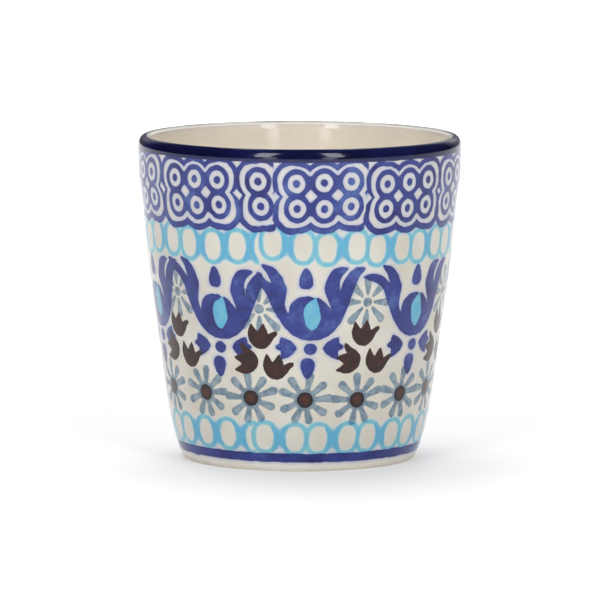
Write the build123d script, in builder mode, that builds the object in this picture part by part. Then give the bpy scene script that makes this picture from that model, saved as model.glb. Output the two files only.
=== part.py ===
from build123d import *
import os

# A handleless stoneware mug: one fired clay body under thin coats of paint and glaze.
# Millimetres, +Z up, origin on the mug's axis at the surface it stands on.

# ---- driving dimensions ----
mug_height = 88.0
rim_radius = 44.0  # widest point, just below the lip
lip_thickness = 3.6
lip_height = 2.6  # how far the rounded lip stands above the widest point
foot_radius = 31.9
foot_corner = 0.6  # rounding at the bottom edge of the foot
ring_inner_radius = 27.6  # inner edge of the ring that the mug stands on
recess_depth = 1.8  # glazed hollow under the base
recess_corner = 2.4  # width of the rounding at the recess's edge
floor_height = 6.2  # inside floor
floor_flat_radius = 22.0
coat = 0.3  # paint and glaze together
bare_foot = 0.8  # height wiped clean of glaze at the foot
rim_paint_width = 0.6  # how far the rim colour reaches past the crest, inwards

# Heights where one painted band ends and the next begins
foot_line_low = 2.9
foot_line_high = 5.4
lower_chain_high = 14.0
daisies_high = 27.5
blossoms_high = 58.0
upper_chain_high = 67.0
lattice_high = 85.0

# Outside of the wall: radius and height, from the foot up to the widest point
outer_wall = [
    (foot_radius, foot_corner),
    (32.4, 2.1),
    (33.35, 4.5),
    (35.0, 11.0),
    (37.1, 24.0),
    (39.5, 41.5),
    (41.8, 59.0),
    (43.3, 74.0),
    (rim_radius, mug_height - lip_height),
]

# Inside of the wall: radius and height, from above the rounded corner up to the lip
inner_wall = [
    (31.6, 16.0),
    (34.1, 33.0),
    (36.7, 50.0),
    (39.3, 72.0),
    (rim_radius - lip_thickness, mug_height - lip_height),
]
floor_corner_pull = 30.1  # where the wall, carried on straight, would meet the floor

lip_half = lip_thickness / 2
crest_radius = rim_radius - lip_half
lip_base = mug_height - lip_height
lip_centre = (crest_radius, lip_base)


def outside(inset, mode=Mode.ADD):
    """The whole mug as if it were solid, made smaller by inset, from the axis to its skin."""
    corner_centre = (foot_radius - inset - foot_corner, foot_corner)
    with BuildLine() as outline:
        corner = CenterArc(corner_centre, foot_corner, start_angle=-90, arc_size=90)
        wall = Spline(*[(r - inset, z) for r, z in outer_wall], tangents=[(0.12, 1), (0, 1)])
        lip = EllipticalCenterArc(lip_centre, lip_half - inset, lip_height - inset, start_angle=0, arc_size=90)
        Polyline(lip @ 1, (0, mug_height - inset), (0, 0), corner @ 0)
    make_face(outline.edges(), mode=mode)


def inside(inset, mode=Mode.ADD):
    """The hollow that holds the drink, made larger by inset, from the axis to the wall."""
    low_radius, low_height = inner_wall[0]
    floor = floor_height - inset
    with BuildLine() as outline:
        corner = Bezier(
            (floor_flat_radius, floor), (floor_corner_pull + inset, floor), (low_radius + inset, low_height)
        )
        wall_rise = (low_radius - floor_corner_pull, low_height - floor_height)
        wall = Spline(*[(r + inset, z) for r, z in inner_wall], tangents=[wall_rise, (0, 1)])
        lip = EllipticalCenterArc(lip_centre, lip_half - inset, lip_height - inset, start_angle=90, arc_size=90)
        Polyline(lip @ 0, (0, mug_height - inset), (0, floor), corner @ 0)
    make_face(outline.edges(), mode=mode)


def recess(inset, mode=Mode.ADD):
    """The hollow under the base, made smaller by inset, from the axis to the foot ring."""
    corner_centre = (ring_inner_radius - recess_corner, 0)
    across = recess_corner - inset
    depth = recess_depth + coat - inset
    with BuildLine() as outline:
        corner = EllipticalCenterArc(corner_centre, across, depth, start_angle=0, arc_size=90)
        Polyline(corner @ 1, (0, depth), (0, 0), corner @ 0)
    make_face(outline.edges(), mode=mode)


def keep_rows(low, high, inner_radius=0.0):
    """Trims the section to a range of heights, outside a radius."""
    width = rim_radius + 5 - inner_radius
    with Locations((inner_radius, low)):
        Rectangle(width, high - low, align=(Align.MIN, Align.MIN), mode=Mode.INTERSECT)


# ---- fired clay: wall, floor and the bare ring it stands on ----
with BuildSketch() as clay_section:
    outside(coat)
    inside(coat, Mode.SUBTRACT)
    recess(0, Mode.SUBTRACT)

with BuildPart() as stoneware_body:
    with BuildSketch(Plane.XZ):
        add(clay_section.sketch)
    revolve(axis=Axis.Z)
stoneware_body.part.label = "stoneware_body"

# ---- clear glaze over the inside, floor to lip ----
with BuildPart() as liner_glaze:
    with BuildSketch(Plane.XZ):
        inside(coat)
        inside(0, Mode.SUBTRACT)
        with Locations((crest_radius - rim_paint_width, lip_base)):
            Rectangle(rim_radius, 2 * lip_height, align=(Align.MIN, Align.MIN), mode=Mode.SUBTRACT)
    revolve(axis=Axis.Z)
liner_glaze.part.label = "liner_glaze"

# ---- glaze in the hollow under the base, clear of the foot ring ----
with BuildPart() as base_glaze:
    with BuildSketch(Plane.XZ):
        recess(0)
        recess(coat, Mode.SUBTRACT)
        keep_rows(bare_foot, mug_height)
    revolve(axis=Axis.Z)
base_glaze.part.label = "base_glaze"

# ---- the coloured band over the lip ----
with BuildPart() as rim_glaze:
    with BuildSketch(Plane.XZ):
        outside(0)
        inside(0, Mode.SUBTRACT)
        add(clay_section.sketch, mode=Mode.SUBTRACT)
        keep_rows(lattice_high, mug_height + lip_height, crest_radius - rim_paint_width)
    revolve(axis=Axis.Z)
rim_glaze.part.label = "rim_glaze"


def coat_section(low, high):
    """The coat on the outside of the wall between two heights."""
    outside(0)
    outside(coat, Mode.SUBTRACT)
    keep_rows(low, high, foot_radius / 2)


# ---- painted bands round the wall, from the top down ----
with BuildPart() as lattice_band_glaze:
    with BuildSketch(Plane.XZ):
        coat_section(upper_chain_high, lattice_high)
    revolve(axis=Axis.Z)
lattice_band_glaze.part.label = "lattice_band_glaze"

with BuildPart() as upper_ring_chain_glaze:
    with BuildSketch(Plane.XZ):
        coat_section(blossoms_high, upper_chain_high)
    revolve(axis=Axis.Z)
upper_ring_chain_glaze.part.label = "upper_ring_chain_glaze"

with BuildPart() as blossom_band_glaze:
    with BuildSketch(Plane.XZ):
        coat_section(daisies_high, blossoms_high)
    revolve(axis=Axis.Z)
blossom_band_glaze.part.label = "blossom_band_glaze"

with BuildPart() as daisy_band_glaze:
    with BuildSketch(Plane.XZ):
        coat_section(lower_chain_high, daisies_high)
    revolve(axis=Axis.Z)
daisy_band_glaze.part.label = "daisy_band_glaze"

with BuildPart() as lower_ring_chain_glaze:
    with BuildSketch(Plane.XZ):
        coat_section(foot_line_high, lower_chain_high)
    revolve(axis=Axis.Z)
lower_ring_chain_glaze.part.label = "lower_ring_chain_glaze"

with BuildPart() as foot_line_glaze:
    with BuildSketch(Plane.XZ):
        coat_section(foot_line_low, foot_line_high)
    revolve(axis=Axis.Z)
foot_line_glaze.part.label = "foot_line_glaze"

with BuildPart() as foot_glaze:
    with BuildSketch(Plane.XZ):
        coat_section(bare_foot, foot_line_low)
    revolve(axis=Axis.Z)
foot_glaze.part.label = "foot_glaze"

# ---- one STEP file for each node ----
nodes = [
    stoneware_body,
    liner_glaze,
    base_glaze,
    rim_glaze,
    lattice_band_glaze,
    upper_ring_chain_glaze,
    blossom_band_glaze,
    daisy_band_glaze,
    lower_ring_chain_glaze,
    foot_line_glaze,
    foot_glaze,
]
os.makedirs("parts", exist_ok=True)
for node in nodes:
    export_step(node.part, f"parts/{node.part.label}.step")
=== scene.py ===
import math
import random

import bpy
import numpy as np
from mathutils import Matrix, Vector


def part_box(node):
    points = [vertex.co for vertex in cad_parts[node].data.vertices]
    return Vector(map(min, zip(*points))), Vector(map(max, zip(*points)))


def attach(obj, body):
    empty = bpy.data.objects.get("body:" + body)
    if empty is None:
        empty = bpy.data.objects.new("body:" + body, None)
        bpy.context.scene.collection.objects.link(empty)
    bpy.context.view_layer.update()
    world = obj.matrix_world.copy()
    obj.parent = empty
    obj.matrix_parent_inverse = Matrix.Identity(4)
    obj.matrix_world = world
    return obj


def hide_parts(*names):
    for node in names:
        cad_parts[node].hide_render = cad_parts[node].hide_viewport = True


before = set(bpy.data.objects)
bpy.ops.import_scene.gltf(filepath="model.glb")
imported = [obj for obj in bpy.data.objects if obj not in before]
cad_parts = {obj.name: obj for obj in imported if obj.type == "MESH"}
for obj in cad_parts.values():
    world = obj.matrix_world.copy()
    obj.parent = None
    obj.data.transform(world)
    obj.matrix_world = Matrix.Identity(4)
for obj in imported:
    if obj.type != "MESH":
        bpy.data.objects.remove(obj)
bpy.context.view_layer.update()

# A handleless stoneware mug, stamped and brushed with underglaze paints and dipped in clear glaze.
# Sizes are in millimetres, but in metres in the materials and in the studio. Angles are in degrees.

MM = 0.001
COAT = 0.3  # thickness of a coat of glaze, as on the CAD nodes
NEARLY = 0.0005  # two heights or radii of the CAD closer than this are the same
FAR = 1.4  # a paint remembers how far its edge is only up to this distance

# The painted bands from the foot up: CAD node, piece, slot, material
BANDS = [
    ("foot_glaze", "foot_edge", "cream_glaze", "cream_foot_glaze"),
    ("foot_line_glaze", "foot_line", "foot_line_cobalt", "cobalt_line_under_glaze"),
    (
        "lower_ring_chain_glaze", "lower_ring_chain", "painted_rings_lower",
        "lower_turquoise_rings_under_glaze",
    ),
    ("daisy_band_glaze", "daisy_band", "painted_daisies", "daisies_under_glaze"),
    ("blossom_band_glaze", "blossom_band", "painted_blossoms", "blossoms_under_glaze"),
    ("upper_ring_chain_glaze", "upper_ring_chain", "painted_rings_upper", "turquoise_rings_under_glaze"),
    ("lattice_band_glaze", "lattice_band", "painted_lattice", "cobalt_lattice_under_glaze"),
    ("rim_glaze", "navy_rim", "rim_cobalt", "navy_rim_under_glaze"),
]
WALL_NODES = [node for node, *_ in BANDS[:-1]]
MUG_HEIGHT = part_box("rim_glaze")[1].z / MM

# ---------------------------------------------------------------- sections of the CAD coats


def skin_of(node, is_skin, order):
    """The (radius, height) points of a CAD coat's visible side along one meridian, sorted by order."""
    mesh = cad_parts[node].data
    points = set()
    for face in mesh.polygons:
        centre = face.center
        radius = math.hypot(centre.x, centre.y)
        out = (face.normal.x * centre.x + face.normal.y * centre.y) / radius
        if not is_skin(out, face.normal.z):
            continue
        for index in face.vertices:
            spot = mesh.vertices[index].co
            if abs(spot.y) < 1e-6 and spot.x > -1e-6:
                points.add((round(spot.x / MM, 4), round(spot.z / MM, 4)))
    return sorted(points, key=order)


rim_points = skin_of("rim_glaze", lambda out, up: True, order=lambda p: p[1])
RIM_RADIUS = max(r for r, z in rim_points)
CREST_RADIUS = max(r for r, z in rim_points if z > MUG_HEIGHT - NEARLY)
LIP_BASE = max(z for r, z in rim_points if r > RIM_RADIUS - NEARLY)  # height of the widest point
LIP_HALF = RIM_RADIUS - CREST_RADIUS  # half of the lip's thickness
LIP_RISE = MUG_HEIGHT - LIP_BASE
RIM_PAINT_RADIUS = min(r for r, z in rim_points)  # where the rim coat ends on the inner side of the lip

wall_points = set()
for node in WALL_NODES:
    wall_points.update(skin_of(node, lambda out, up: out > 0.7, order=lambda p: p[1]))
wall_points = sorted(wall_points, key=lambda p: p[1])
wall_points.append((RIM_RADIUS, LIP_BASE))

# Near the lip the glaze on the inner wall leans out a little more than the clay: radius, height.
FLARE_START, FLARE_END = 75.0, 87.1
INNER_FLARE = [(40.0, 78.4), (40.25, 81.0), (40.43, 83.0), (40.6, 85.0), (40.7, 86.0), (40.78, 86.6)]
liner_points = skin_of("liner_glaze", lambda out, up: up - out > 0, order=lambda p: p[0] + p[1])
liner_points = [p for p in liner_points if not FLARE_START < p[1] < FLARE_END] + INNER_FLARE
liner_points.sort(key=lambda p: p[0] + p[1])
base_points = skin_of("base_glaze", lambda out, up: -up - out > 0, order=lambda p: p[0] - p[1])


def smooth_curve(points, spacing):
    """Points a given distance apart along a smooth curve through the given ones."""
    points = np.array(points, float)
    steps = np.linalg.norm(np.diff(points, axis=0), axis=1)
    points = points[np.concatenate([[True], steps > 1e-3])]
    steps = np.linalg.norm(np.diff(points, axis=0), axis=1)
    at = np.concatenate([[0], np.cumsum(steps)])
    slopes = np.gradient(points, at, axis=0)
    where = np.linspace(0, at[-1], max(2, round(at[-1] / spacing)) + 1)
    cell = np.clip(np.searchsorted(at, where, side="right") - 1, 0, len(at) - 2)
    span = (at[cell + 1] - at[cell])[:, None]
    t = ((where - at[cell]) / (at[cell + 1] - at[cell]))[:, None]
    start, end = points[cell], points[cell + 1]
    lean = 3 * t**2 - 2 * t**3
    bend_in = (t**3 - 2 * t**2 + t) * span * slopes[cell]
    bend_out = (t**3 - t**2) * span * slopes[cell + 1]
    return start * (1 - lean) + end * lean + bend_in + bend_out


# ---------------------------------------------------------------- the wall as a painter's canvas

COLUMNS = 832  # vertices round the mug
ROW_SPACING = 0.33
PROFILE_SPACING = 0.05  # between the points that the wall's radii are read from
LIP_ROWS = 18
# In radians; 0 faces the viewer, positive to the right
ANGLES = np.arange(COLUMNS) * (2 * math.pi / COLUMNS) - math.pi

band_edges = [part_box(node)[0].z / MM for node in WALL_NODES] + [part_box("rim_glaze")[0].z / MM]


def canvas_profile():
    """Rows from the foot up the wall and over the lip: radii, heights, painting heights, band starts."""
    wall = smooth_curve(wall_points, PROFILE_SPACING)
    radii, heights, starts = [], [], []
    for low, high in zip(band_edges, band_edges[1:] + [LIP_BASE]):
        starts.append(len(heights))
        count = max(1, round((high - low) / ROW_SPACING))
        levels = low + (high - low) * np.arange(count) / count
        heights.extend(levels)
        radii.extend(np.interp(levels, wall[:, 1], wall[:, 0]))
    past_crest = math.acos((RIM_PAINT_RADIUS - CREST_RADIUS) / LIP_HALF)
    lip = np.linspace(0, past_crest, LIP_ROWS)
    radii.extend(CREST_RADIUS + LIP_HALF * np.cos(lip))
    heights.extend(LIP_BASE + LIP_RISE * np.sin(lip))
    radii, heights = np.array(radii), np.array(heights)
    along = np.concatenate([[0], np.cumsum(np.hypot(np.diff(radii), np.diff(heights)))])
    painted = np.where(heights < LIP_BASE, heights, along - along[-len(lip)] + LIP_BASE)
    painted[-len(lip):] = along[-len(lip):] - along[-len(lip)] + LIP_BASE
    return radii, heights, painted, starts + [len(heights) - 1]


RADII, HEIGHTS, PAINT_HEIGHTS, BAND_STARTS = canvas_profile()
ROWS = len(RADII)


def waves(seed, count, lowest, highest, tall):
    """A smooth random field over the canvas, seamless all the way round, mostly within -1 to 1.

    It adds up sine waves with lowest to highest periods round the mug, none of them shorter than tall
    along the height.
    """
    draw = random.Random(seed)
    field = np.zeros((ROWS, COLUMNS))
    for _ in range(count):
        turns = draw.randint(lowest, highest) * draw.choice((-1, 1))
        rise = draw.uniform(-1, 1) * 2 * math.pi / tall
        phase = draw.uniform(0, 2 * math.pi)
        field += np.sin(ANGLES[None, :] * turns + PAINT_HEIGHTS[:, None] * rise + phase)
    return field / math.sqrt(count)


HAND_WANDER = 0.045  # the small wander of a stamped edge
HAND_X = HAND_WANDER * waves(3, 14, 30, 160, 3.0)
HAND_Y = HAND_WANDER * waves(4, 14, 30, 160, 3.0)

# ---------------------------------------------------------------- shapes
# Each function gives how far (x, y) is outside the shape, negative inside.

NOWHERE = 1e6  # the distance to a shape that hasn't been drawn yet


def disc(x, y, radius):
    return np.hypot(x, y) - radius


def oval(x, y, half_width, half_height, power=2.0):
    """An ellipse, or with a power above 2 a squarer one."""
    x, y = np.abs(x) / half_width, np.abs(y) / half_height
    reach = np.maximum((x**power + y**power) ** (1 / power), 1e-6)
    slopes = x ** (power - 1) / half_width, y ** (power - 1) / half_height
    steep = np.hypot(*slopes) * reach ** (1 - power)
    return (reach - 1) / np.maximum(steep, 1e-6)


def dab(x, y, start, start_radius, end, end_radius):
    """A brush mark that is round at both ends and changes width along its length."""
    along_x, along_y = end[0] - start[0], end[1] - start[1]
    length = along_x**2 + along_y**2
    t = np.clip(((x - start[0]) * along_x + (y - start[1]) * along_y) / length, 0, 1)
    centre = np.hypot(x - start[0] - t * along_x, y - start[1] - t * along_y)
    return centre - (start_radius + (end_radius - start_radius) * t)


def bend(*points):
    """Closely spaced points along a smooth curve through the given ones, without the last."""
    spots = [points[0]] + list(points) + [points[-1]]
    curve = []
    for p0, p1, p2, p3 in zip(spots, spots[1:], spots[2:], spots[3:]):
        for t in (0, 0.25, 0.5, 0.75):
            weights = (-t + 2 * t**2 - t**3, 2 - 5 * t**2 + 3 * t**3, t + 4 * t**2 - 3 * t**3, t**3 - t**2)
            x = sum(w * p[0] for w, p in zip(weights, (p0, p1, p2, p3))) / 2
            y = sum(w * p[1] for w, p in zip(weights, (p0, p1, p2, p3))) / 2
            curve.append((x, y))
    return curve


def strokes(first, *others):
    """A closed outline of smooth lengths that meet at corners; each starts where the one before it ends."""
    curve = bend(*first)
    end = first[-1]
    for length in others:
        curve += bend(end, *length)
        end = length[-1]
    return curve


def outline(x, y, corners):
    """Any closed outline, given as its corners in order."""
    nearest = np.full(x.shape, NOWHERE)
    inside = np.zeros(x.shape, bool)
    for (x0, y0), (x1, y1) in zip(corners, corners[1:] + corners[:1]):
        dx, dy = x1 - x0, y1 - y0
        t = np.clip(((x - x0) * dx + (y - y0) * dy) / (dx * dx + dy * dy + 1e-12), 0, 1)
        nearest = np.minimum(nearest, np.hypot(x - x0 - t * dx, y - y0 - t * dy))
        crosses = (y0 > y) != (y1 > y)
        inside ^= crosses & (x < x0 + (y - y0) * dx / (dy if dy else 1e-12))
    return np.where(inside, -nearest, nearest)


def blended(a, b, softness):
    """Two shapes run together, with the corner between them filled."""
    h = np.maximum(softness - np.abs(a - b), 0) / softness
    return np.minimum(a, b) - h * h * softness / 4


# ---------------------------------------------------------------- paints


class Paint:
    """How far each vertex is outside the painted shapes, and outside the places painted twice."""

    def __init__(self):
        self.once = np.full((ROWS, COLUMNS), FAR)
        self.twice = np.full((ROWS, COLUMNS), FAR)
        self.load = np.full((ROWS, COLUMNS), 1.0)

    def stamp(self, angle, height, reach, shape, turn=0.0, load=1.0):
        """Puts a shape at an angle and a height; it stays within reach of that place."""
        reach += FAR
        radius = np.interp(height, PAINT_HEIGHTS, RADII)
        swing = (ANGLES - math.radians(angle) + math.pi) % (2 * math.pi) - math.pi
        rows = np.flatnonzero(np.abs(PAINT_HEIGHTS - height) < reach)
        columns = np.flatnonzero(np.abs(swing) * radius < reach)
        block = np.ix_(rows, columns)
        x, y = np.meshgrid(swing[columns] * radius, PAINT_HEIGHTS[rows] - height)
        x, y = x + HAND_X[block], y + HAND_Y[block]
        cosine, sine = math.cos(math.radians(turn)), math.sin(math.radians(turn))
        x, y = x * cosine + y * sine, y * cosine - x * sine
        distance = np.clip(shape(x, y), -FAR, FAR)
        once, twice = self.once[block], self.twice[block]
        self.load[block] = np.where(distance < once, load, self.load[block])
        self.twice[block] = np.minimum(twice, np.maximum(once, distance))
        self.once[block] = np.minimum(once, distance)


navy = Paint()
cobalt = Paint()
turquoise = Paint()
slate = Paint()
brown = Paint()
seed = Paint()
dice = random.Random(11)


def around(start, end, count):
    """Angles of count marks evenly spread between two placed ones, going right, with a little jitter."""
    gap = ((end - start) % 360) / (count + 1)
    return [start + gap * (i + 1) + dice.uniform(-0.03, 0.03) * gap for i in range(count)]


# ---------------------------------------------------------------- lattice of linked rings

# A stamp is measured from its own middle.
LATTICE_PITCH = 7.38  # between the ring columns
LATTICE_TOP = 3.4  # the upper ring centres
LATTICE_BOTTOM = -3.35  # the lower ring centres
MIDDLE_DROP = 0.35  # how much lower the middle column's lower ring is
LATTICE_SQUEEZE = 0.93  # rings are a little narrower than tall
DOT_RADIUS = 1.08
HOLE_RADIUS = 2.5  # of the pale ring round each dot
RING_RADIUS = 3.96
ROW_SOFTNESS, COLUMN_SOFTNESS = 0.8, 1.8  # how far neighbouring rings run together
STAR_HALF_WIDTH, STAR_HALF_HEIGHT = 1.65, 1.75  # the pale star between four rings
STAR_POWER = 0.85
STAR_EDGE = 1.2
BORDER_INNER, BORDER_OUTER = 4.68, 6.05  # the scalloped outer line, from the ring centres
BORDER_FADE = 3.0  # the border changes over this distance beyond the ring centres
SIDE_SWELL, BELOW_SWELL, CORNER_SWELL = 0.3, 0.35, 0.45  # how much further out the border lies there
LINE_SWELL = 0.35  # how much thicker the border is below
WAIST_HEIGHT, WAIST_DEPTH = 1.8, 0.65  # the border is thinner between two rows
CLEAR_HALF_HEIGHT = 3.0  # no border crosses the middle of the block of rings
LINE_END_SLANT = 0.07


def lattice(columns, line_end=20.0):
    """A stamp with two rows of linked rings in a scalloped border; its outer line stops at line_end."""

    def shape(x, y):
        ring = np.full(x.shape, NOWHERE)
        joined = np.full(x.shape, NOWHERE)
        border = np.full(x.shape, NOWHERE)
        half = (columns - 1) / 2 * LATTICE_PITCH
        for i in range(columns):
            column_x = i * LATTICE_PITCH - half
            bottom_y = LATTICE_BOTTOM - (MIDDLE_DROP if abs(column_x) < half else 0.0)
            top = np.hypot((x - column_x) / LATTICE_SQUEEZE, y - LATTICE_TOP)
            bottom = np.hypot((x - column_x) / LATTICE_SQUEEZE, y - bottom_y)
            ring = np.minimum(ring, np.minimum(top, bottom))
            joined = blended(joined, blended(top, bottom, ROW_SOFTNESS), COLUMN_SOFTNESS)
            border = np.minimum(border, np.hypot(x - column_x, y - LATTICE_TOP))
            border = np.minimum(border, np.hypot(x - column_x, y - bottom_y))
        beside = np.clip((np.abs(x) - half) / BORDER_FADE, 0, 1)
        below = np.clip((LATTICE_BOTTOM - y) / BORDER_FADE, 0, 1)
        above = np.clip((y - LATTICE_TOP) / BORDER_FADE, 0, 1)
        border = border - SIDE_SWELL * beside - BELOW_SWELL * below - CORNER_SWELL * beside * (above + below)
        body = np.maximum(joined - RING_RADIUS, HOLE_RADIUS - ring)
        for i in range(columns - 1):
            gap_x = (i + 0.5) * LATTICE_PITCH - half
            star_x = (np.abs(x - gap_x) / STAR_HALF_WIDTH) ** STAR_POWER
            star_y = (np.abs(y) / STAR_HALF_HEIGHT) ** STAR_POWER
            body = np.maximum(body, (1 - (star_x + star_y) ** (1 / STAR_POWER)) * STAR_EDGE)
        waist = beside * np.clip(1 - np.abs(y) / WAIST_HEIGHT, 0, 1)
        outer = border - BORDER_OUTER - LINE_SWELL * below + WAIST_DEPTH * waist
        line = np.maximum(BORDER_INNER - border, outer)
        line = np.maximum(line, x - LINE_END_SLANT * y - line_end)
        line = np.maximum(line, -np.maximum(np.abs(x) - half, np.abs(y) - CLEAR_HALF_HEIGHT))
        return np.minimum(np.minimum(body, ring - DOT_RADIUS), line)

    return shape


LATTICE_REACH = 18  # of a stamp of three columns
SHORT_REACH = 11  # of a stamp of one column

# angle, height, turn, load of paint
lattice_places = [
    (-74.9, 76.2, 0.6, 0.95),
    (-39.7, 75.9, 1.3, 0.98),
    (42.1, 75.05, 1.0, 1.12),
    (76.4, 75.5, 3.0, 0.95),
]
for angle in around(76.6, -74.9, 5):
    height, turn, load = 75.5 + dice.uniform(-0.4, 0.4), dice.uniform(0, 1.5), dice.uniform(0.9, 1.1)
    lattice_places.append((angle, height, turn, load))
for angle, height, turn, load in lattice_places:
    cobalt.stamp(angle, height, LATTICE_REACH, lattice(3), turn, load)
cobalt.stamp(8.75, 75.8, LATTICE_REACH, lattice(3, line_end=11.9), 1.8, 0.86)
cobalt.stamp(-14.25, 76.05, SHORT_REACH, lattice(1, line_end=4.1), 5.0, 1.1)

# ---------------------------------------------------------------- chains of rings

RING_LINE = 1.25  # width of a ring's line
RING_POWER = 2.4  # the rings are a little squarer than ellipses
RING_REACH = 7
WEB_SOFTNESS, WEB_HALF_WIDTH, WEB_REACH = 2.8, 2.2, 6  # the paint that fills the corners between rings
WEB_LOAD = 1.8


def ring_parts(x, y, half_width, half_height):
    """How far a place is outside a ring's outer edge, and outside its hole."""
    hole = oval(x, y, half_width, half_height, RING_POWER)
    return hole - RING_LINE, hole


def ring_chain(places, half_width, half_height, lean):
    """Rings side by side; where two stand a little apart, paint fills the corner between them."""

    def ring(x, y):
        outer, hole = ring_parts(x, y, half_width, half_height)
        return np.maximum(outer, -hole)

    for angle, height in places:
        turn, load = lean + dice.uniform(-2, 2), dice.uniform(0.85, 1.1)
        turquoise.stamp(angle, height, RING_REACH, ring, turn, load)
    for place, next_place in zip(places, places[1:] + places[:1]):
        join_rings(place, next_place, half_width, half_height)


def join_rings(place, next_place, half_width, half_height):
    """Paint fills the corners between two rings that stand a little apart."""
    gap = (next_place[0] - place[0]) % 360
    step = math.radians(gap) * np.interp(place[1], PAINT_HEIGHTS, RADII)
    lift = (next_place[1] - place[1]) / 2
    if step < 2 * (half_width + RING_LINE) - 0.1:
        return

    def web(x, y):
        left, left_hole = ring_parts(x + step / 2, y + lift, half_width, half_height)
        right, right_hole = ring_parts(x - step / 2, y - lift, half_width, half_height)
        fill = np.maximum(blended(left, right, WEB_SOFTNESS), np.abs(x) - WEB_HALF_WIDTH)
        return np.maximum(fill, -np.minimum(left_hole, right_hole))

    turquoise.stamp(place[0] + gap / 2, place[1] + lift, WEB_REACH, web, 0, WEB_LOAD)


def left_arc(half_width, half_height, reach):
    """The part of a ring that shows where the next one was stamped over it."""

    def shape(x, y):
        outer, hole = ring_parts(x, y, half_width, half_height)
        return np.maximum(np.maximum(outer, -hole), x - reach)

    return shape


# The rings were stamped by hand, so each has its own angle and height.
UPPER_RING = (2.5, 3.75)  # half width and half height of the hole
upper_rings = [(-74, 61.6), (-65.2, 62.6), (-54, 62.4), (-44.6, 61.8), (-33.5, 61.4), (-23.3, 61.8)]
upper_rings += [(-9.8, 63.0), (1.3, 61.9), (10.3, 61.4), (21.5, 61.8), (29.9, 60.8), (41.0, 61.1)]
upper_rings += [(49.6, 60.7), (60.5, 61.2), (69.2, 61.0)]
for angle in around(64.8, -69.5, 10):
    height = 61.6 + dice.uniform(-0.5, 0.5)
    upper_rings += [(angle - 4.4, height), (angle + 4.4, height + dice.uniform(-0.5, 0.5))]
upper_rings = sorted((angle % 360, height) for angle, height in upper_rings)
ring_chain(upper_rings, *UPPER_RING, lean=0.0)
turquoise.stamp(-14.2, 61.9, RING_REACH, left_arc(*UPPER_RING, -0.4), 0, 0.9)
join_rings((-23.3, 61.8), (-13.2, 61.9), *UPPER_RING)

LOWER_RING = (2.45, 3.5)
lower_rings = [(-69.9, 9.9), (-59.3, 9.9), (-46.1, 9.95), (-33.3, 10.0), (-15.4, 9.7), (-1.9, 9.3)]
lower_rings += [(8.4, 9.3), (21.8, 9.25), (32.0, 9.35), (45.6, 9.3), (56.5, 9.4), (70.3, 9.5), (80.5, 9.5)]
for angle in around(75.4, -64.6, 8):
    height = 9.6 + dice.uniform(-0.25, 0.25)
    lower_rings += [(angle - 5.1, height), (angle + 5.1, height + dice.uniform(-0.3, 0.3))]
lower_rings = sorted((angle % 360, height) for angle, height in lower_rings)
ring_chain(lower_rings, *LOWER_RING, lean=-5.0)
turquoise.stamp(-20.2, 9.3, RING_REACH, left_arc(*LOWER_RING, 0.5), -4, 0.9)
join_rings((-33.3, 10.0), (-20.2, 9.3), *LOWER_RING)

# ---------------------------------------------------------------- blossoms and their small marks


# The left outer petal's upper edge out to its tip and its lower edge back
LONG_PETAL = [(-12.2, 9.8), (-14.3, 10.7), (-16.5, 10.9), (-18.4, 10.1), (-16.2, 9.0), (-13.0, 7.3)]
CURLED_PETAL = [(-12.8, 10.2), (-15.1, 11.4), (-16.8, 12.1), (-18.2, 11.6), (-16.4, 9.3), (-14.1, 8.0)]
CURLED_PETAL += [(-12.2, 6.0)]
SHORT_PETAL = [(-11.8, 9.0), (-12.7, 10.0), (-13.5, 10.9), (-14.1, 10.3), (-14.0, 8.6), (-13.0, 7.0)]
# The right outer petal's tip, from its outer side to its upper side
WIDE_TIP = [(13.5, 9.7), (14.8, 11.3), (14.0, 12.0), (12.3, 12.0)]
CLOSE_TIP = [(12.9, 9.8), (12.7, 11.2), (12.1, 11.85), (11.6, 11.4)]


def blossom_outline(left_petal, right_tip):
    """A cup-shaped blossom: two petals each side and a round heart, lower half shared. Origin: the heart."""
    bottom = (0.5, -7.8)
    return strokes(
        # right outer petal
        [bottom, (3.3, -7.5), (6.2, -5.9), (8.6, -3.0), (10.1, 0.4), (11.4, 4.2), (12.4, 7.3), *right_tip],
        [(10.4, 10.6), (8.8, 8.2), (8.2, 5.5)],
        # right inner petal
        [(7.9, 7.8), (8.6, 9.8), (10.2, 11.6)],
        [(9.8, 12.0), (7.9, 12.2), (5.9, 11.4), (4.7, 9.6), (3.9, 7.2), (3.9, 5.5), (4.6, 3.8), (6.0, 0.4)],
        # heart
        [(4.7, 2.0), (3.5, 3.2), (2.3, 3.9), (1.5, 3.8)],
        [(0.6, 4.2), (-0.8, 4.35), (-2.7, 4.05), (-4.3, 3.1), (-5.2, 1.8), (-5.5, 0.6), (-5.7, -0.6)],
        # left inner petal
        [(-6.5, 1.6), (-6.3, 4.0), (-6.0, 6.3), (-6.6, 8.2), (-7.6, 10.2), (-9.5, 12.3)],
        [(-12.2, 13.0), (-12.6, 12.4), (-11.7, 11.2), (-10.8, 9.7), (-10.1, 7.7)],
        # left outer petal and side
        [*left_petal, (-11.4, 4.6), (-10.2, 1.6), (-8.6, -1.6)],
        [(-6.6, -4.4), (-4.2, -6.5), (-1.6, -7.6), bottom],
    )


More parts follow.
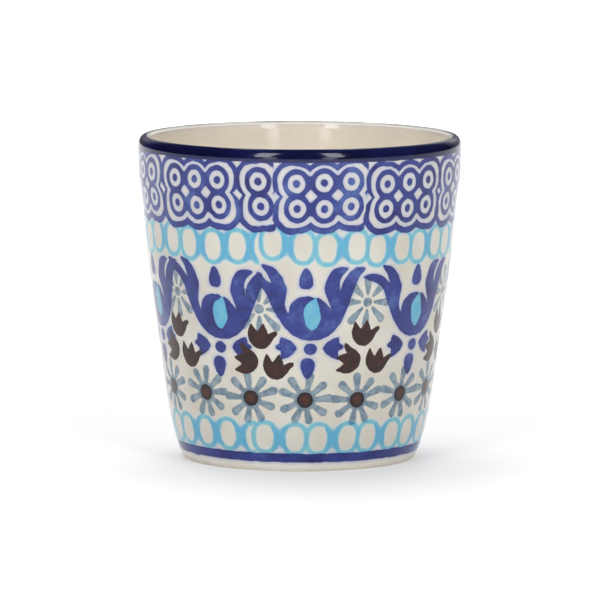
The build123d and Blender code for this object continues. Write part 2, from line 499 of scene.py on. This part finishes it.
DROP = strokes(
    [(1.5, 3.9), (0.3, 3.0), (-0.8, 2.1), (-1.5, 0.6), (-1.5, -1.2), (-1.1, -3.0), (-0.3, -4.4), (0.6, -5.0)],
    [(1.5, -4.7), (2.5, -3.2), (3.0, -1.7), (2.7, 0.3), (2.2, 2.3), (1.5, 3.9)],
)
SMALL_TULIP = strokes(
    [(-2.65, 0.0), (-1.7, 1.4), (-0.1, 2.4), (1.3, 2.9)],
    [(1.6, 2.1), (1.6, 1.4)],
    [(2.2, 0.95), (2.75, 0.6)],
    [(2.7, 0.1), (1.9, -0.4), (1.3, -0.8)],
    [(1.4, -2.0), (1.35, -3.0)],
    [(-0.5, -2.2), (-2.0, -1.1)],
)
TULIP = strokes(
    [(-3.0, 3.5), (-3.45, 2.2), (-3.75, 0.9), (-3.4, -0.8), (-2.2, -2.3), (-0.5, -2.9), (0.9, -2.6)],
    [(2.2, -1.3), (3.05, 0.1), (4.0, 1.1), (3.95, 1.5)],
    [(3.3, 1.45), (2.2, 0.95), (1.4, 0.45)],
    [(1.15, 1.7), (0.4, 3.5)],
    [(-0.4, 2.4), (-1.3, 1.15)],
    [(-2.0, 2.0), (-3.0, 3.5)],
)


def heart_drop(x, y, grow=0.0):
    """The pointed drop in the blossom's heart."""
    return outline(x, y, DROP) - grow


def egg(x, y, half_width, half_height, taper):
    """An oval that narrows upwards, or downwards where the taper is negative."""
    return oval(x * (1 + taper * y), y, half_width, half_height)


def blossom(left_petal, right_tip):
    corners = blossom_outline(left_petal, right_tip)
    return lambda x, y: np.maximum(outline(x, y, corners), -heart_drop(x, y))


SMALL_SPREAD, TULIP_SPREAD = 0.2, 0.3  # how far the paint of a bud runs past its outline


def small_tulip(side):
    """A three-pointed bud lying on its side, its base towards the blossom's axis."""
    return lambda x, y: outline(x * side, y, SMALL_TULIP) - SMALL_SPREAD


def tulip(x, y):
    """A brown three-pointed bud, open at the top."""
    return outline(x, y, TULIP) - TULIP_SPREAD


def blossom_marks(angle, height, load, upper_x, lower_x):
    """The blue drops, dot and side buds that belong to one blossom; the drops sit a little off its axis."""

    def place(x_mm, y_mm, reach, shape):
        spot = math.radians(angle) + x_mm / np.interp(height + y_mm, PAINT_HEIGHTS, RADII)
        cobalt.stamp(math.degrees(spot), height + y_mm, reach, shape, 0, load)

    # the drop between the petals, the dot under the heart, the drop under it, and the side buds
    place(upper_x, 9.1, 4, lambda x, y: egg(x, y, 1.8, 2.9, 0.13))
    place(0.3 + lower_x, -10.1, 2, lambda x, y: oval(x, y, 1.75, 1.6))
    place(-0.4 + lower_x, -15.4, 4, lambda x, y: egg(x, y, 1.85, 2.85, -0.12))
    place(6.4, -10.0, 4, small_tulip(1))
    place(-6.1, -9.9, 4, small_tulip(-1))


BLOSSOM_REACH = 20
DROP_OVERLAP = 0.15  # the turquoise runs a little over the cobalt round it
DROP_LOAD = 1.35

# angle, height, turn, load of paint, left outer petal, right outer petal's tip, sideways places of the drops
blossom_places = [
    (-73.8, 44.8, 0.0, 0.92, LONG_PETAL, WIDE_TIP, -0.6, 0.0),
    (-33.2, 44.0, -4.0, 1.12, CURLED_PETAL, CLOSE_TIP, -0.2, -0.3),
    (3.95, 44.2, 0.0, 0.9, SHORT_PETAL, WIDE_TIP, -1.0, 0.0),
    (51.25, 43.8, 1.8, 1.02, LONG_PETAL, WIDE_TIP, -0.6, 0.35),
]
for angle in around(51.25, -73.8, 4):
    petal = dice.choice([LONG_PETAL, SHORT_PETAL])
    height, turn, load = 43.9 + dice.uniform(-0.3, 0.3), dice.uniform(-3, 3), dice.uniform(0.88, 1.1)
    drops = dice.uniform(-1.0, -0.2), dice.uniform(-0.4, 0.4)
    blossom_places.append((angle, height, turn, load, petal, WIDE_TIP, *drops))
for angle, height, turn, load, left_petal, right_tip, upper_x, lower_x in blossom_places:
    cobalt.stamp(angle, height, BLOSSOM_REACH, blossom(left_petal, right_tip), turn, load)
    turquoise.stamp(angle, height, 6, lambda x, y: heart_drop(x, y, DROP_OVERLAP), turn, DROP_LOAD)
    blossom_marks(angle, height, load, upper_x, lower_x)

# ---------------------------------------------------------------- flowers and brown buds between blossoms


def petal_wheel(petals, inner, inner_radius, outer, outer_radius):
    """Brush dabs set round a centre, each with its direction and its stretch.

    A dab starts inner from the centre with one radius and ends outer from it with the other.
    """

    def shape(x, y):
        distance = np.full(x.shape, NOWHERE)
        for degrees, stretch in petals:
            cosine, sine = math.cos(math.radians(degrees)), math.sin(math.radians(degrees))
            start = (inner * cosine, inner * sine)
            end = (outer * stretch * cosine, outer * stretch * sine)
            distance = np.minimum(distance, dab(x, y, start, inner_radius, end, outer_radius))
        return distance

    return shape


FLOWER_REACH = (1.0, 1.0, 1.02, 1.0, 1.0, 1.1, 1.0, 1.15)  # from the right-hand petal counter-clockwise
FLOWER_PETAL = 2.3, 0.45, 5.8, 1.15
FLOWER_HEART = 1.3


def flower(angle, height):
    """A small slate flower of eight long petals."""
    petals = []
    for i, reach in enumerate(FLOWER_REACH):
        petals.append((45 * i + dice.uniform(-3, 3), reach * dice.uniform(0.97, 1.03)))
    slate.stamp(angle, height, 9, petal_wheel(petals, *FLOWER_PETAL), 0, 0.9)
    slate.stamp(angle, height, 2, lambda x, y: disc(x, y, FLOWER_HEART), 0, 1.1)


# (angle, height) of each gap's flower, then (angle, height, turn) of its three brown buds
gaps = [
    ((-54.3, 47.9), [(-55.8, 38.5, 0), (-62.5, 32.4, 90), (-49.6, 30.6, 0)]),
    ((-15.6, 44.9), [(-14.8, 37.1, 0), (-21.5, 31.0, 90), (-8.8, 28.8, -2)]),
    ((26.95, 46.5), [(27.0, 37.7, 3), (20.8, 31.2, 90), (33.9, 30.0, 0)]),
]
# The gaps round the back lie between the blossoms from the last one listed above to the first one.
hidden = [place[0] for place in blossom_places[3:]] + [blossom_places[0][0]]
for angle, next_angle in zip(hidden, hidden[1:]):
    middle = angle + (next_angle - angle) % 360 / 2
    drop = dice.uniform(-0.7, 0.7)
    buds = [(middle - 0.3, 37.8 + drop), (middle - 6.8, 31.5 + drop), (middle + 6.2, 29.8 + drop)]
    turns = [dice.uniform(-4, 4), 90 + dice.uniform(-4, 4), dice.uniform(-4, 4)]
    flower_place = (middle - 0.5, 46.2 + dice.uniform(-1.2, 1.2))
    gaps.append((flower_place, [(*bud, turn) for bud, turn in zip(buds, turns)]))
for flower_place, buds in gaps:
    flower(*flower_place)
    for angle, height, turn in buds:
        brown.stamp(angle, height, 6, tulip, turn)

# ---------------------------------------------------------------- daisies

PETAL_SWAY = (2, -4, -3, -1, -2, -1, 1, -1, 2)  # how far each petal leans from an even wheel, in degrees
PETAL_REACH = (1.06, 1.0, 1.03, 1.0, 1.03, 1.0, 0.95, 0.93, 0.96)
PETAL_ORDER = (0, 2, 4, 6, 8, 1, 3, 5, 7)  # every other petal first, then the ones between
DAISY_PETAL = 2.2, 0.6, 6.25, 1.12
DAISY_HEART, SEED_RADIUS = 2.95, 2.2

# angle, height, direction of the first petal
daisy_places = [(-67.8, 21.0, 16), (-43.1, 20.95, 4), (-20.7, 20.35, 18), (2.45, 20.1, 3), (25.2, 19.8, 18)]
daisy_places += [(47.7, 20.45, 5), (69.0, 20.8, 16)]
for angle in around(69.0, -67.8, 9):
    daisy_places.append((angle, 20.4 + dice.uniform(-0.4, 0.4), dice.uniform(3, 19)))
for angle, height, first in daisy_places:
    petals = []
    for i, (sway, reach) in enumerate(zip(PETAL_SWAY, PETAL_REACH)):
        petals.append((first + 40 * i + sway + dice.uniform(-2, 2), reach * dice.uniform(0.97, 1.03)))
    for i in PETAL_ORDER:
        petal = petal_wheel([petals[i]], *DAISY_PETAL)
        slate.stamp(angle, height, 10, petal, 0, dice.uniform(0.8, 1.1))
    slate.stamp(angle, height, 4, lambda x, y: disc(x, y, DAISY_HEART), 0, 0.9)
    seed.stamp(angle, height, 3, lambda x, y: disc(x, y, SEED_RADIUS))

# ---------------------------------------------------------------- lines brushed on the wheel

FOOT_LINE_LOAD = 1.1
LEVEL = 400.0  # a wave this tall hardly changes over the height of a line

brush = waves(21, 10, 3, 40, LEVEL)
line_low, line_high = (corner.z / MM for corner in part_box("foot_line_glaze"))
line_middle = (line_low + line_high) / 2 - 0.2 - 0.12 * np.sin(ANGLES) + 0.06 * brush
line_half = (line_high - line_low) / 2 + 0.04 + 0.05 * waves(22, 12, 10, 90, LEVEL)
line = np.abs(PAINT_HEIGHTS[:, None] - line_middle) - line_half
cobalt.load = np.where(line < cobalt.once, FOOT_LINE_LOAD, cobalt.load)
cobalt.once = np.minimum(cobalt.once, np.clip(line, -FAR, FAR))

rim_start = band_edges[-1] - 0.47 - 0.18 * np.sin(ANGLES) + 0.04 * waves(23, 12, 8, 80, LEVEL)
rim_end = PAINT_HEIGHTS[-1] - 0.2 + 0.06 * waves(24, 12, 4, 40, LEVEL)
rim_band = np.maximum(rim_start - PAINT_HEIGHTS[:, None], PAINT_HEIGHTS[:, None] - rim_end)
navy.once = np.clip(rim_band, -FAR, FAR)

PAINTS = {"navy": navy.once}
for name, paint in (("cobalt", cobalt), ("turquoise", turquoise), ("slate", slate)):
    PAINTS[name] = paint.once
    PAINTS[name + "_twice"] = paint.twice
    PAINTS[name + "_load"] = paint.load
PAINTS.update(brown=brown.once, seed=seed.once)

# ---------------------------------------------------------------- materials


class Graph:
    """Builds the node tree of a material or a world a node at a time."""

    def __init__(self, owner):
        owner.use_nodes = True
        self.owner = owner
        self.tree = owner.node_tree
        self.tree.nodes.clear()
        self.coordinates = self.node("ShaderNodeTexCoord")
        self.position = self.coordinates.outputs["Object"]

    def node(self, kind, **settings):
        made = self.tree.nodes.new(kind)
        for key, value in settings.items():
            setattr(made, key, value)
        return made

    def put(self, value, socket):
        if isinstance(value, bpy.types.NodeSocket):
            self.tree.links.new(value, socket)
        else:
            socket.default_value = value

    def math(self, operation, a, b):
        made = self.node("ShaderNodeMath", operation=operation)
        self.put(a, made.inputs[0])
        self.put(b, made.inputs[1])
        return made.outputs[0]

    def times(self, a, b):
        return self.math("MULTIPLY", a, b)

    def noise(self, scale, detail, roughness=0.5):
        made = self.node("ShaderNodeTexNoise")
        made.inputs["Scale"].default_value = scale
        made.inputs["Detail"].default_value = detail
        made.inputs["Roughness"].default_value = roughness
        self.put(self.position, made.inputs["Vector"])
        return made.outputs["Fac"]

    def ramp(self, value, low, high, to_low, to_high):
        made = self.node("ShaderNodeMapRange", interpolation_type="SMOOTHSTEP")
        self.put(value, made.inputs["Value"])
        for name, number in (("From Min", low), ("From Max", high), ("To Min", to_low), ("To Max", to_high)):
            made.inputs[name].default_value = number
        return made.outputs["Result"]

    def mix(self, factor, a, b):
        made = self.node("ShaderNodeMix", data_type="RGBA")
        self.put(factor, made.inputs["Factor"])
        self.put(a, made.inputs[6])
        self.put(b, made.inputs[7])
        return made.outputs[2]

    def fade(self, value, low, high, a, b):
        """Colour a where the value is low, colour b where it is high."""
        return self.mix(self.ramp(value, low, high, 0, 1), a, b)

    def attribute(self, name):
        return self.node("ShaderNodeAttribute", attribute_name=name).outputs["Fac"]

    def along(self, vector, axis):
        """A vector's X, Y or Z."""
        split = self.node("ShaderNodeSeparateXYZ")
        self.put(vector, split.inputs[0])
        return split.outputs[axis]

    def finish(self, color, roughness, relief, relief_height, **sockets):
        """The finished material; its relief is a bump of at most relief_height, in metres."""
        shader = self.node("ShaderNodeBsdfPrincipled")
        self.put(color, shader.inputs["Base Color"])
        self.put(roughness, shader.inputs["Roughness"])
        bump = self.node("ShaderNodeBump")
        bump.inputs["Distance"].default_value = relief_height
        bump.inputs["Strength"].default_value = 1.0
        self.put(relief, bump.inputs["Height"])
        self.put(bump.outputs[0], shader.inputs["Normal"])
        for name, value in sockets.items():
            self.put(value, shader.inputs[name.replace("_", " ")])
        output = self.node("ShaderNodeOutputMaterial")
        self.put(shader.outputs[0], output.inputs["Surface"])
        return self.owner


def shade(red, green, blue):
    """A colour given as it looks on screen, 0 to 255, turned into the linear values that shaders use."""
    linear = []
    for value in (red, green, blue):
        value /= 255
        linear.append(value / 12.92 if value <= 0.04045 else ((value + 0.055) / 1.055) ** 2.4)
    return (*linear, 1.0)


CREAM, CREAM_DEEP = shade(214, 210, 199), shade(204, 198, 185)
# The foot band's two creams are lighter than the wall's: painted light at the foot.
LIT_FOOT_CREAM, LIT_FOOT_CREAM_DEEP = shade(230, 225, 214), shade(223, 218, 206)
# The first colour here, the inside's cream, is lighter than the outside's: painted light inside the cup.
LIT_INSIDE_CREAM, UNDERSIDE_CREAM = shade(238, 230, 216), shade(222, 213, 198)
# The third colour here is the blue-grey just under the lip inside: partly cobalt bleeding from the rim,
# partly painted shade on the inner lip.
COBALT_HALO, TURQUOISE_HALO, RIM_BLEED_AND_SHADE = shade(168, 177, 208), shade(186, 214, 218), shade(158, 168, 194)
SLATE_THIN, SLATE_THICK = shade(138, 158, 170), shade(84, 112, 132)
SLATE_EDGE, SLATE_TWICE = shade(76, 98, 116), shade(74, 100, 122)
TURQUOISE_THIN, TURQUOISE_THICK = shade(108, 183, 197), shade(66, 163, 202)
TURQUOISE_TWICE, TURQUOISE_ON_SLATE = shade(62, 154, 190), shade(62, 112, 152)
COBALT_THIN, COBALT_EVEN, COBALT_THICK = shade(70, 94, 158), shade(42, 54, 130), shade(24, 27, 98)
COBALT_EDGE, COBALT_TWICE, COBALT_ON_SLATE = shade(24, 34, 104), shade(30, 28, 84), shade(20, 30, 84)
BROWN_DARK, BROWN_WARM = shade(34, 12, 8), shade(58, 22, 13)
SEED_MIDDLE, SEED_EDGE, SEED_MOTTLE = shade(74, 34, 18), shade(28, 18, 20), shade(40, 26, 26)
NAVY_DARK, NAVY_BRIGHT, NAVY_EDGE = shade(12, 14, 48), shade(18, 22, 66), shade(20, 26, 86)
CLAY_PALE, CLAY_DEEP = shade(236, 230, 218), shade(212, 202, 186)
IRON_IN_GLAZE, IRON_IN_CLAY = shade(150, 128, 100), shade(140, 118, 92)
IOR = 1.45  # of glaze and clay
GLAZE_RELIEF, CLAY_RELIEF, PAPER_RELIEF = 0.00022, 0.00008, 0.00001


def glazed(graph, color):
    """Glaze over a colour: glossy, with the faint unevenness of a dipped, fired coat."""
    roughness = graph.ramp(graph.noise(900, 3), 0.3, 0.7, 0.07, 0.12)
    swell = graph.noise(45, 1)
    peel = graph.times(graph.noise(420, 2), 0.10)
    return graph.finish(color, roughness, graph.math("ADD", swell, peel), GLAZE_RELIEF, IOR=IOR)


def painted_glaze(name, cream, cream_deep):
    """Clear glaze over cream clay with the hand-stamped underglaze paints, one laid over another."""
    graph = Graph(bpy.data.materials.new(name))
    flow = graph.noise(75, 2)
    mottle = graph.noise(520, 4, 0.6)
    grain = graph.noise(1700, 2)
    wander = graph.times(graph.math("SUBTRACT", grain, 0.5), 0.16)

    def cover(paint, softness=0.11):
        """1 inside a paint's edge and 0 outside, with a slightly ragged edge."""
        edge = graph.math("ADD", graph.attribute(paint), wander)
        return graph.ramp(edge, -softness, softness, 1.0, 0.0)

    def wash(mottle_share, load_share, paint):
        """How thick a paint lies."""
        load = graph.times(graph.attribute(paint + "_load"), load_share)
        return graph.math("ADD", graph.times(mottle, mottle_share), load)

    # cream clay, tinted by the blues that bleed into the glaze beside them
    color = graph.fade(flow, 0.3, 0.7, cream, cream_deep)
    color = graph.mix(graph.ramp(graph.attribute("cobalt"), 0.0, 1.0, 0.62, 0.0), color, COBALT_HALO)
    color = graph.mix(graph.ramp(graph.attribute("turquoise"), 0.0, 0.8, 0.35, 0.0), color, TURQUOISE_HALO)

    # petals of the daisies and the small flowers
    slate_cover = cover("slate", 0.2)
    ink = graph.fade(wash(2.2, 0.6, "slate"), 1.25, 2.0, SLATE_THIN, SLATE_THICK)
    ink = graph.mix(graph.ramp(graph.attribute("slate"), -0.55, 0.0, 0.0, 0.35), ink, SLATE_EDGE)
    ink = graph.mix(graph.times(cover("slate_twice"), 0.3), ink, SLATE_TWICE)
    color = graph.mix(graph.times(slate_cover, 0.93), color, ink)

    # ring chains and the drops in the blossoms
    turquoise_cover = graph.times(cover("turquoise", 0.26), 0.9)
    ink = graph.fade(wash(0.8, 0.55, "turquoise"), 0.8, 1.3, TURQUOISE_THIN, TURQUOISE_THICK)
    ink = graph.mix(graph.times(cover("turquoise_twice", 0.2), 0.4), ink, TURQUOISE_TWICE)
    color = graph.mix(turquoise_cover, color, ink)
    both = graph.times(graph.times(slate_cover, turquoise_cover), 0.85)
    color = graph.mix(both, color, TURQUOISE_ON_SLATE)

    # lattice, blossoms and foot line
    amount = graph.math("ADD", wash(0.5, 0.7, "cobalt"), graph.times(graph.noise(120, 1), 0.9))
    ink = graph.fade(amount, 1.1, 1.38, COBALT_THIN, COBALT_EVEN)
    ink = graph.fade(amount, 1.36, 1.74, ink, COBALT_THICK)
    ink = graph.mix(graph.times(cover("cobalt_twice"), 0.25), ink, COBALT_TWICE)
    ink = graph.mix(graph.times(slate_cover, 0.4), ink, COBALT_ON_SLATE)
    ink = graph.mix(graph.ramp(graph.attribute("cobalt"), -0.6, 0.0, 0.0, 0.3), ink, COBALT_EDGE)
    color = graph.mix(cover("cobalt", 0.14), color, ink)

    # buds, then the daisies' hearts, then the rim
    color = graph.mix(cover("brown"), color, graph.fade(mottle, 0.35, 0.7, BROWN_DARK, BROWN_WARM))

    ink = graph.fade(graph.attribute("seed"), -1.5, -0.45, SEED_MIDDLE, SEED_EDGE)
    ink = graph.mix(graph.ramp(mottle, 0.45, 0.7, 0, 0.5), ink, SEED_MOTTLE)
    color = graph.mix(cover("seed"), color, ink)

    ink = graph.fade(flow, 0.35, 0.7, NAVY_DARK, NAVY_BRIGHT)
    ink = graph.mix(graph.ramp(graph.attribute("navy"), -1.1, -0.1, 0.0, 1.0), ink, NAVY_EDGE)
    color = graph.mix(cover("navy", 0.1), color, ink)
    return glazed(graph, color)


def cream_glaze(name, tint, bleed=0.0, bleed_height=1.0):
    """Clear glaze over bare cream clay, with fine iron specks; a blue-grey tint runs down from bleed_height
    and fades, partly cobalt bleeding from the rim and partly painted shade on the inner lip.
    """
    graph = Graph(bpy.data.materials.new(name))
    deep = tuple(0.93 * c for c in tint[:3]) + (1.0,)
    color = graph.fade(graph.noise(55, 2), 0.3, 0.7, tint, deep)
    specks = graph.ramp(graph.noise(1300, 1), 0.79, 0.83, 0.0, 0.35)
    color = graph.mix(specks, color, IRON_IN_GLAZE)
    height = graph.along(graph.position, "Z")
    # Blue-grey under the lip: partly cobalt bleed, partly painted shade.
    lip_bleed_and_shade = graph.ramp(height, bleed_height - 0.0018, bleed_height - 0.0003, 0, bleed)
    return glazed(graph, graph.mix(lip_bleed_and_shade, color, RIM_BLEED_AND_SHADE))


def bare_stoneware(name):
    """Unglazed fired clay: matt, gritty, with pale and dark grains."""
    graph = Graph(bpy.data.materials.new(name))
    grain = graph.noise(2600, 4, 0.7)
    color = graph.fade(grain, 0.35, 0.65, CLAY_PALE, CLAY_DEEP)
    specks = graph.ramp(graph.noise(1900, 1), 0.72, 0.78, 0.0, 0.6)
    color = graph.mix(specks, color, IRON_IN_CLAY)
    roughness = graph.ramp(grain, 0.3, 0.7, 0.72, 0.88)
    return graph.finish(color, roughness, grain, CLAY_RELIEF, IOR=IOR)


# ---------------------------------------------------------------- meshes


def add_mesh(name, vertices, faces, material):
    mesh = bpy.data.meshes.new(name)
    mesh.from_pydata(vertices, [], faces)
    mesh.materials.append(material)
    piece = bpy.data.objects.new(name, mesh)
    bpy.context.scene.collection.objects.link(piece)
    return piece


def canvas_points(depth):
    """The canvas in space, in metres, sunk below the skin by a depth; the skin is very slightly uneven."""
    swell = 0.02 * waves(31, 8, 2, 7, 60.0)
    run = np.gradient(np.stack([RADII, HEIGHTS], 1), axis=0)
    run /= np.linalg.norm(run, axis=1)[:, None]
    radius = RADII[:, None] + run[:, 1:] * (swell - depth)
    height = np.repeat(HEIGHTS[:, None], COLUMNS, 1) - run[:, :1] * (swell - depth)
    return np.stack([radius * np.sin(ANGLES), -radius * np.cos(ANGLES), height], 2) * MM


SKIN = canvas_points(0.0)
BACK = canvas_points(COAT)
step_round = np.roll(SKIN, -1, 1) - np.roll(SKIN, 1, 1)
step_up = np.gradient(SKIN, axis=0)
SKIN_NORMALS = np.cross(step_round, step_up)
SKIN_NORMALS /= np.linalg.norm(SKIN_NORMALS, axis=2)[:, :, None]

BACK_STEP = 6  # the hidden back of a band has only every sixth row


def painted_band(name, node, first_row, last_row, material):
    """A closed ring of glaze over part of the canvas, carrying the paints as attributes."""
    skin_rows = list(range(first_row, last_row + 1))
    back_rows = skin_rows[::-BACK_STEP]
    if back_rows[-1] != first_row:
        back_rows.append(first_row)
    loop = [(SKIN, row) for row in skin_rows] + [(BACK, row) for row in back_rows]
    vertices = np.concatenate([points[row] for points, row in loop])
    column = np.arange(COLUMNS)
    beside = (column + 1) % COLUMNS
    faces = []
    for i in range(len(loop)):
        here, above = i * COLUMNS, (i + 1) % len(loop) * COLUMNS
        faces.append(np.stack([here + column, here + beside, above + beside, above + column], 1))
    faces = np.concatenate(faces)
    piece = add_mesh(name, vertices.tolist(), faces.tolist(), material)
    mesh = piece.data
    for paint, field in PAINTS.items():
        values = np.concatenate([field[row] for _, row in loop]).astype(np.float32)
        mesh.attributes.new(paint, "FLOAT", "POINT").data.foreach_set("value", values)
    skin_faces = (len(skin_rows) - 1) * COLUMNS
    mesh.shade_smooth()
    corner_normals = np.zeros((len(mesh.loops), 3), np.float32)
    corners = faces[:skin_faces].reshape(-1)
    skin_normals = SKIN_NORMALS[first_row:last_row + 1].reshape(-1, 3)
    corner_normals[:len(corners)] = skin_normals[corners]
    mesh.normals_split_custom_set(corner_normals.tolist())
    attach(piece, "root")
    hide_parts(node)


SHARP_ANGLE = math.radians(40)  # edges of a turned shell sharper than this stay crisp


def lathe(name, node, section, columns, material):
    """A closed shell turned from a section that starts and ends on the axis."""
    ring = section[1:-1]
    angles = np.arange(columns) * (2 * math.pi / columns)
    round_x, round_y = np.sin(angles), -np.cos(angles)
    vertices = [(0, 0, section[0][1] * MM)]
    for radius, height in ring:
        vertices.extend(zip(radius * round_x * MM, radius * round_y * MM, [height * MM] * columns))
    vertices.append((0, 0, section[-1][1] * MM))
    last = len(vertices) - 1
    faces = []
    for column in range(columns):
        beside = (column + 1) % columns
        faces.append((0, 1 + beside, 1 + column))
        for row in range(len(ring) - 1):
            low, high = 1 + row * columns, 1 + (row + 1) * columns
            faces.append((low + column, low + beside, high + beside, high + column))
        top = 1 + (len(ring) - 1) * columns
        faces.append((top + column, top + beside, last))
    piece = add_mesh(name, vertices, faces, material)
    piece.data.shade_smooth()
    piece.data.set_sharp_from_angle(angle=SHARP_ANGLE)
    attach(piece, "root")
    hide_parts(node)


def shell_section(points, spacing, sink):
    """A section loop from the axis along a skin and back along a copy sunk into the clay."""
    skin = smooth_curve([(0.0, points[0][1])] + points, spacing)
    run = np.gradient(skin, axis=0)
    run /= np.linalg.norm(run, axis=1)[:, None]
    back = skin + np.stack([run[:, 1], -run[:, 0]], 1) * sink
    return [(0.0, skin[0][1])] + skin[1:].tolist() + back[::-1].tolist()[:-1] + [(0.0, back[0][1])]


# The foot band gets the lighter creams, which are painted light.
for (node, name, slot, material), first_row, last_row in zip(BANDS, BAND_STARTS, BAND_STARTS[1:]):
    creams = (LIT_FOOT_CREAM, LIT_FOOT_CREAM_DEEP) if node == "foot_glaze" else (CREAM, CREAM_DEEP)
    painted_band(name, node, first_row, last_row, painted_glaze(material, *creams))

inside_section = shell_section(liner_points, 0.8, COAT)
# The inside glaze's lighter cream is painted light.
inside_material = cream_glaze("inside_glaze", LIT_INSIDE_CREAM, 0.3, MUG_HEIGHT * MM)
lathe("inside_glaze", "liner_glaze", inside_section, COLUMNS // 2, inside_material)

underside_section = shell_section(base_points, 0.4, -COAT)
underside_material = cream_glaze("underside_glaze", UNDERSIDE_CREAM)
lathe("underside_glaze", "base_glaze", underside_section, COLUMNS // 4, underside_material)

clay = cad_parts["stoneware_body"]
clay.data.materials.clear()
clay.data.materials.append(bare_stoneware("bare_stoneware"))

# ---------------------------------------------------------------- floor, light and camera, in metres

FLOOR_HALF = 6.0
FLOOR_CORNERS = [(x * FLOOR_HALF, y * FLOOR_HALF, 0) for x, y in ((-1, -1), (1, -1), (1, 1), (-1, 1))]
PAPER, PAPER_BRIGHT = shade(208, 208, 209), shade(210, 210, 211)
GLOW_NEAR, GLOW_OUT, GLOW_FAR = (0.3, 0.3, 0.3, 1), (0.6, 0.6, 0.6, 1), (1, 1, 1, 1)
LIT_FROM, LIT_TO, WHITE_FROM = 0.05, 0.8, 2.4  # distances from the mug between which the glow grows

LIGHT_AIM = Vector((0, 0, 0.05))

CAMERA_LENS = 376.2
CAMERA_EYE = (0.0, -1.6992, 0.2450)
CAMERA_AIM = Vector((0.00017, 0, 0.04275))
CAMERA_LEAN = 0.12


def studio_floor():
    """White paper that glows as painted light, dim near the mug and brighter further out, so that it runs
    into the white behind it without a horizon.
    """
    graph = Graph(bpy.data.materials.new("studio_floor"))
    color = graph.mix(graph.noise(6, 2), PAPER, PAPER_BRIGHT)
    length = graph.node("ShaderNodeVectorMath", operation="LENGTH")
    graph.put(graph.position, length.inputs[0])
    distance = length.outputs["Value"]
    glow = graph.fade(distance, LIT_FROM, LIT_TO, GLOW_NEAR, GLOW_OUT)
    glow = graph.fade(distance, LIT_TO, WHITE_FROM, glow, GLOW_FAR)
    shine = {"Specular_IOR_Level": 0.0, "Emission_Color": glow, "Emission_Strength": 1.0}
    paper = graph.finish(color, 0.9, graph.noise(300, 2), PAPER_RELIEF, **shine)
    floor = add_mesh("studio_floor", FLOOR_CORNERS, [(0, 1, 2, 3)], paper)


def soft_light(name, azimuth, elevation, distance, width, height, power, mirrored=True):
    """A rectangular soft light; azimuth 0 stands on the viewer's side, positive to the right."""
    light = bpy.data.lights.new(name, "AREA")
    light.shape = "RECTANGLE"
    light.size, light.size_y = width, height
    light.energy = power
    lamp = bpy.data.objects.new(name, light)
    lamp.visible_glossy = mirrored
    azimuth, elevation = math.radians(azimuth), math.radians(elevation)
    flat = distance * math.cos(elevation)
    offset = (flat * math.sin(azimuth), -flat * math.cos(azimuth), distance * math.sin(elevation))
    lamp.location = LIGHT_AIM + Vector(offset)
    lamp.rotation_euler = (LIGHT_AIM - lamp.location).to_track_quat("-Z", "Y").to_euler()
    bpy.context.scene.collection.objects.link(lamp)


def studio_world():
    """A white sweep behind, brighter overhead and to the right, in a dark room; plain white to the camera."""
    graph = Graph(bpy.data.worlds.new("studio"))
    direction = graph.coordinates.outputs["Generated"]
    towards_back = graph.ramp(graph.along(direction, "Y"), 0.65, 0.97, 0.06, 1.0)
    above_horizon = graph.ramp(graph.along(direction, "Z"), 0.1, 0.3, 0.3, 1.0)
    towards_right = graph.ramp(graph.along(direction, "X"), -0.1, 0.3, 0.45, 1.0)
    sweep = graph.times(graph.times(towards_back, above_horizon), towards_right)
    seen = graph.node("ShaderNodeLightPath").outputs["Is Camera Ray"]
    background = graph.node("ShaderNodeBackground")
    background.inputs["Color"].default_value = (1, 1, 1, 1)
    graph.put(graph.math("MAXIMUM", sweep, seen), background.inputs["Strength"])
    output = graph.node("ShaderNodeOutputWorld")
    graph.put(background.outputs[0], output.inputs["Surface"])
    bpy.context.scene.world = graph.owner


def camera():
    """A long lens, slightly above the rim, straight in front."""
    lens = bpy.data.cameras.new("camera")
    lens.lens = CAMERA_LENS
    lens.sensor_width = 36.0
    lens.clip_end = 50
    eye = bpy.data.objects.new("camera", lens)
    eye.location = CAMERA_EYE
    turn = (CAMERA_AIM - eye.location).to_track_quat("-Z", "Y").to_matrix()
    lean = Matrix.Rotation(math.radians(CAMERA_LEAN), 3, "Z")
    eye.rotation_euler = (turn @ lean).to_euler()
    bpy.context.scene.collection.objects.link(eye)
    bpy.context.scene.camera = eye


studio_floor()
studio_world()
# name, azimuth, elevation, distance, width, height, power
for side in (-1, 1):
    soft_light("softbox", side * 26, 33, 1.25, 0.25, 0.88, 4.8)
    soft_light("low_softbox", side * 20.5, 6, 1.25, 0.2, 0.26, 0.55)
    soft_light("hair_light", side * 171, 45, 1.5, 0.12, 0.3, 0.5)
    soft_light("fill_light", side * 70, 60, 1.8, 0.9, 0.9, 3.0, mirrored=False)
soft_light("top_light", -168, 70, 2.4, 1.9, 1.9, 50.0, mirrored=False)
camera()
bpy.context.scene.view_settings.view_transform = "Standard"
